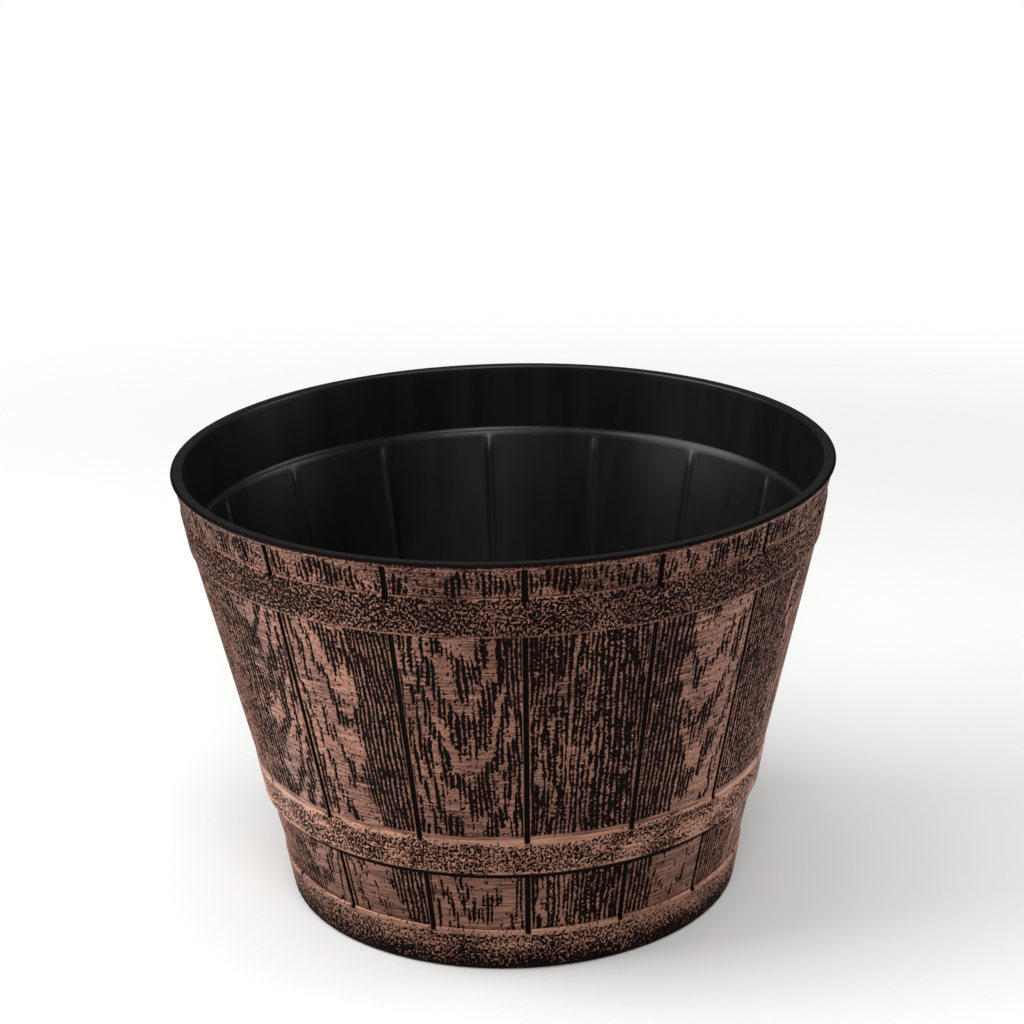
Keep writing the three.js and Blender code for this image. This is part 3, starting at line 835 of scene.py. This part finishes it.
rubber = moulded_rubber()
for number, centre in enumerate(plug_centres(), 1):
    low, high = (np.array(corner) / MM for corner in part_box(f"drain_plug_{number}"))
    bottom, top = low[2], high[2]
    flange_radius = (high[0] - low[0]) / 2
    stem_top = DRAIN_RADIUS - STEM_CLEARANCE
    stem_end = stem_top - STEM_TAPER
    plug = add_turned(f"rubber_plug_{number}", (
        (0, top - FLANGE),
        (stem_end - STEM_WALL, top - FLANGE),
        (stem_end - STEM_WALL, bottom),
        (stem_end - STEM_LEAD, bottom),
        (stem_end, bottom + STEM_LEAD),
        (stem_top, top - FLANGE),
        (flange_radius, top - FLANGE),
        *quarter_round(flange_radius - FLANGE_EDGE, top - FLANGE_EDGE, FLANGE_EDGE, 0, 90, 4),
        (DISH_RADIUS + DISH_EDGE[0], top),
        (DISH_RADIUS, top - DISH_EDGE[1]),
        (DISH_RADIUS - DISH_SLOPE, top - DISH_DEPTH),
        (0, top - DISH_DEPTH),
    ), centre=centre)
    plug.data.set_sharp_from_angle(angle=np.radians(35))
    plug.data.materials.append(rubber)
    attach(plug, f"plug_{number}")
    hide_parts(f"drain_plug_{number}")

# ---- Floor, light and camera -----------------------------------------------------------------------------
# A plain white sweep under soft light: a large lamp at the left and another overhead, small ones at the
# right and in front, and the camera where the photograph's rings say that it stood. The floor and the lamps
# are given in metres and watts.

FLOOR_RADIUS = 1.1
FLOOR_SOLID = 0.55              # radius within which the floor is all there; it fades to white beyond
FLOOR_CORNERS = 96

around = np.linspace(0, 2 * np.pi, FLOOR_CORNERS, endpoint=False)
floor_mesh = bpy.data.meshes.new("floor")
floor_mesh.from_pydata(np.column_stack((np.cos(around), np.sin(around), 0 * around)) * FLOOR_RADIUS, [],
                       [tuple(range(FLOOR_CORNERS))])
floor = bpy.data.objects.new("floor", floor_mesh)
bpy.context.scene.collection.objects.link(floor)


def white_floor():
    """Plain white paper sweep that fades away towards its edge, so that no horizon shows."""
    material, tree, shader = new_material("white_paper_sweep")
    place = add_node(tree, "TexCoord").outputs["Object"]
    fibres = add_node(tree, "TexNoise", {"Vector": place, "Scale": 400.0}).outputs[0]
    tone = add_node(tree, "Mix", {0: fibres, 6: linear_colour("#eeeeed"), 7: linear_colour("#f2f2f1")},
                    data_type="RGBA").outputs[2]
    tree.links.new(tone, shader.inputs["Base Color"])
    shader.inputs["Roughness"].default_value = 0.9
    reach = add_node(tree, "VectorMath", {0: place}, operation="LENGTH").outputs["Value"]
    there = add_node(tree, "MapRange", {0: reach, 1: FLOOR_SOLID, 2: FLOOR_RADIUS, 3: 1.0, 4: 0.0},
                     interpolation_type="SMOOTHSTEP").outputs[0]
    tree.links.new(there, shader.inputs["Alpha"])
    return material


floor_mesh.materials.append(white_floor())


def add_softbox(name, place, target, size, power):
    """Square area light at a place, turned to face a target, and not seen itself."""
    lamp = bpy.data.lights.new(name, "AREA")
    lamp.shape = "SQUARE"
    lamp.size = size
    lamp.energy = power
    softbox = bpy.data.objects.new(name, lamp)
    softbox.location = place
    softbox.rotation_euler = (Vector(target) - Vector(place)).to_track_quat("-Z", "Y").to_euler()
    softbox.visible_camera = False
    bpy.context.scene.collection.objects.link(softbox)


middle = (0, 0, TOP / 2 * MM)
add_softbox("left_softbox", (-1.5, 0.0, 1.15), middle, 1.5, 33)
add_softbox("right_softbox", (1.6, 0.1, 0.6), middle, 0.7, 7)
add_softbox("overhead_softbox", (0, 0.1, 2.2), middle, 2.0, 27)
add_softbox("front_softbox", (0.1, -1.1, 0.95), (0, -0.55, 0), 0.6, 9)
# The staves lean outwards, so they mirror the floor. A glowing patch of it lights them up at each side.
add_softbox("left_floor_glow", (-0.32, -0.12, 0.004), (-0.32, -0.119, 1.0), 0.36, 0.68)
add_softbox("right_floor_glow", (0.34, -0.08, 0.004), (0.34, -0.079, 1.0), 0.4, 0.4)


def studio_world():
    """White to the camera, and a dim grey room to everything that the planter reflects."""
    world = bpy.data.worlds.new("studio")
    world.use_nodes = True
    tree = world.node_tree
    tree.nodes.clear()
    seen = add_node(tree, "LightPath").outputs["Is Camera Ray"]
    strength = add_node(tree, "MapRange", {0: seen, 3: 0.1, 4: 1.0}).outputs[0]
    sky = add_node(tree, "Background", {"Color": (1, 1, 1, 1), "Strength": strength}).outputs[0]
    add_node(tree, "OutputWorld", {"Surface": sky})
    return world


bpy.context.scene.world = studio_world()
bpy.context.scene.view_settings.view_transform = "Standard"

IMAGE_SIDE = 1024               # pixels of the photograph's frame
FOCAL_PIXELS = 2506.7
SENSOR = 36.0
camera_place = np.array((-54.6, -1101.0, 557.9)) * MM
camera_heading = np.array((0.0527, 0.9986, 0.0))
camera_pitch = np.radians(18.903)
camera_roll = np.radians(-1.523)

forward = camera_heading * np.cos(camera_pitch) - np.array((0, 0, np.sin(camera_pitch)))
level_right = np.cross(camera_heading, (0, 0, 1))
level_up = np.cross(level_right, forward)
right = np.cos(camera_roll) * level_right + np.sin(camera_roll) * level_up
up = np.cos(camera_roll) * level_up - np.sin(camera_roll) * level_right
lens = bpy.data.cameras.new("camera")
lens.sensor_width = SENSOR
lens.lens = FOCAL_PIXELS / IMAGE_SIDE * SENSOR
camera = bpy.data.objects.new("camera", lens)
turn = Matrix((right, up, -forward)).transposed().to_4x4()
camera.matrix_world = Matrix.Translation(camera_place) @ turn
bpy.context.scene.collection.objects.link(camera)
bpy.context.scene.camera = camera
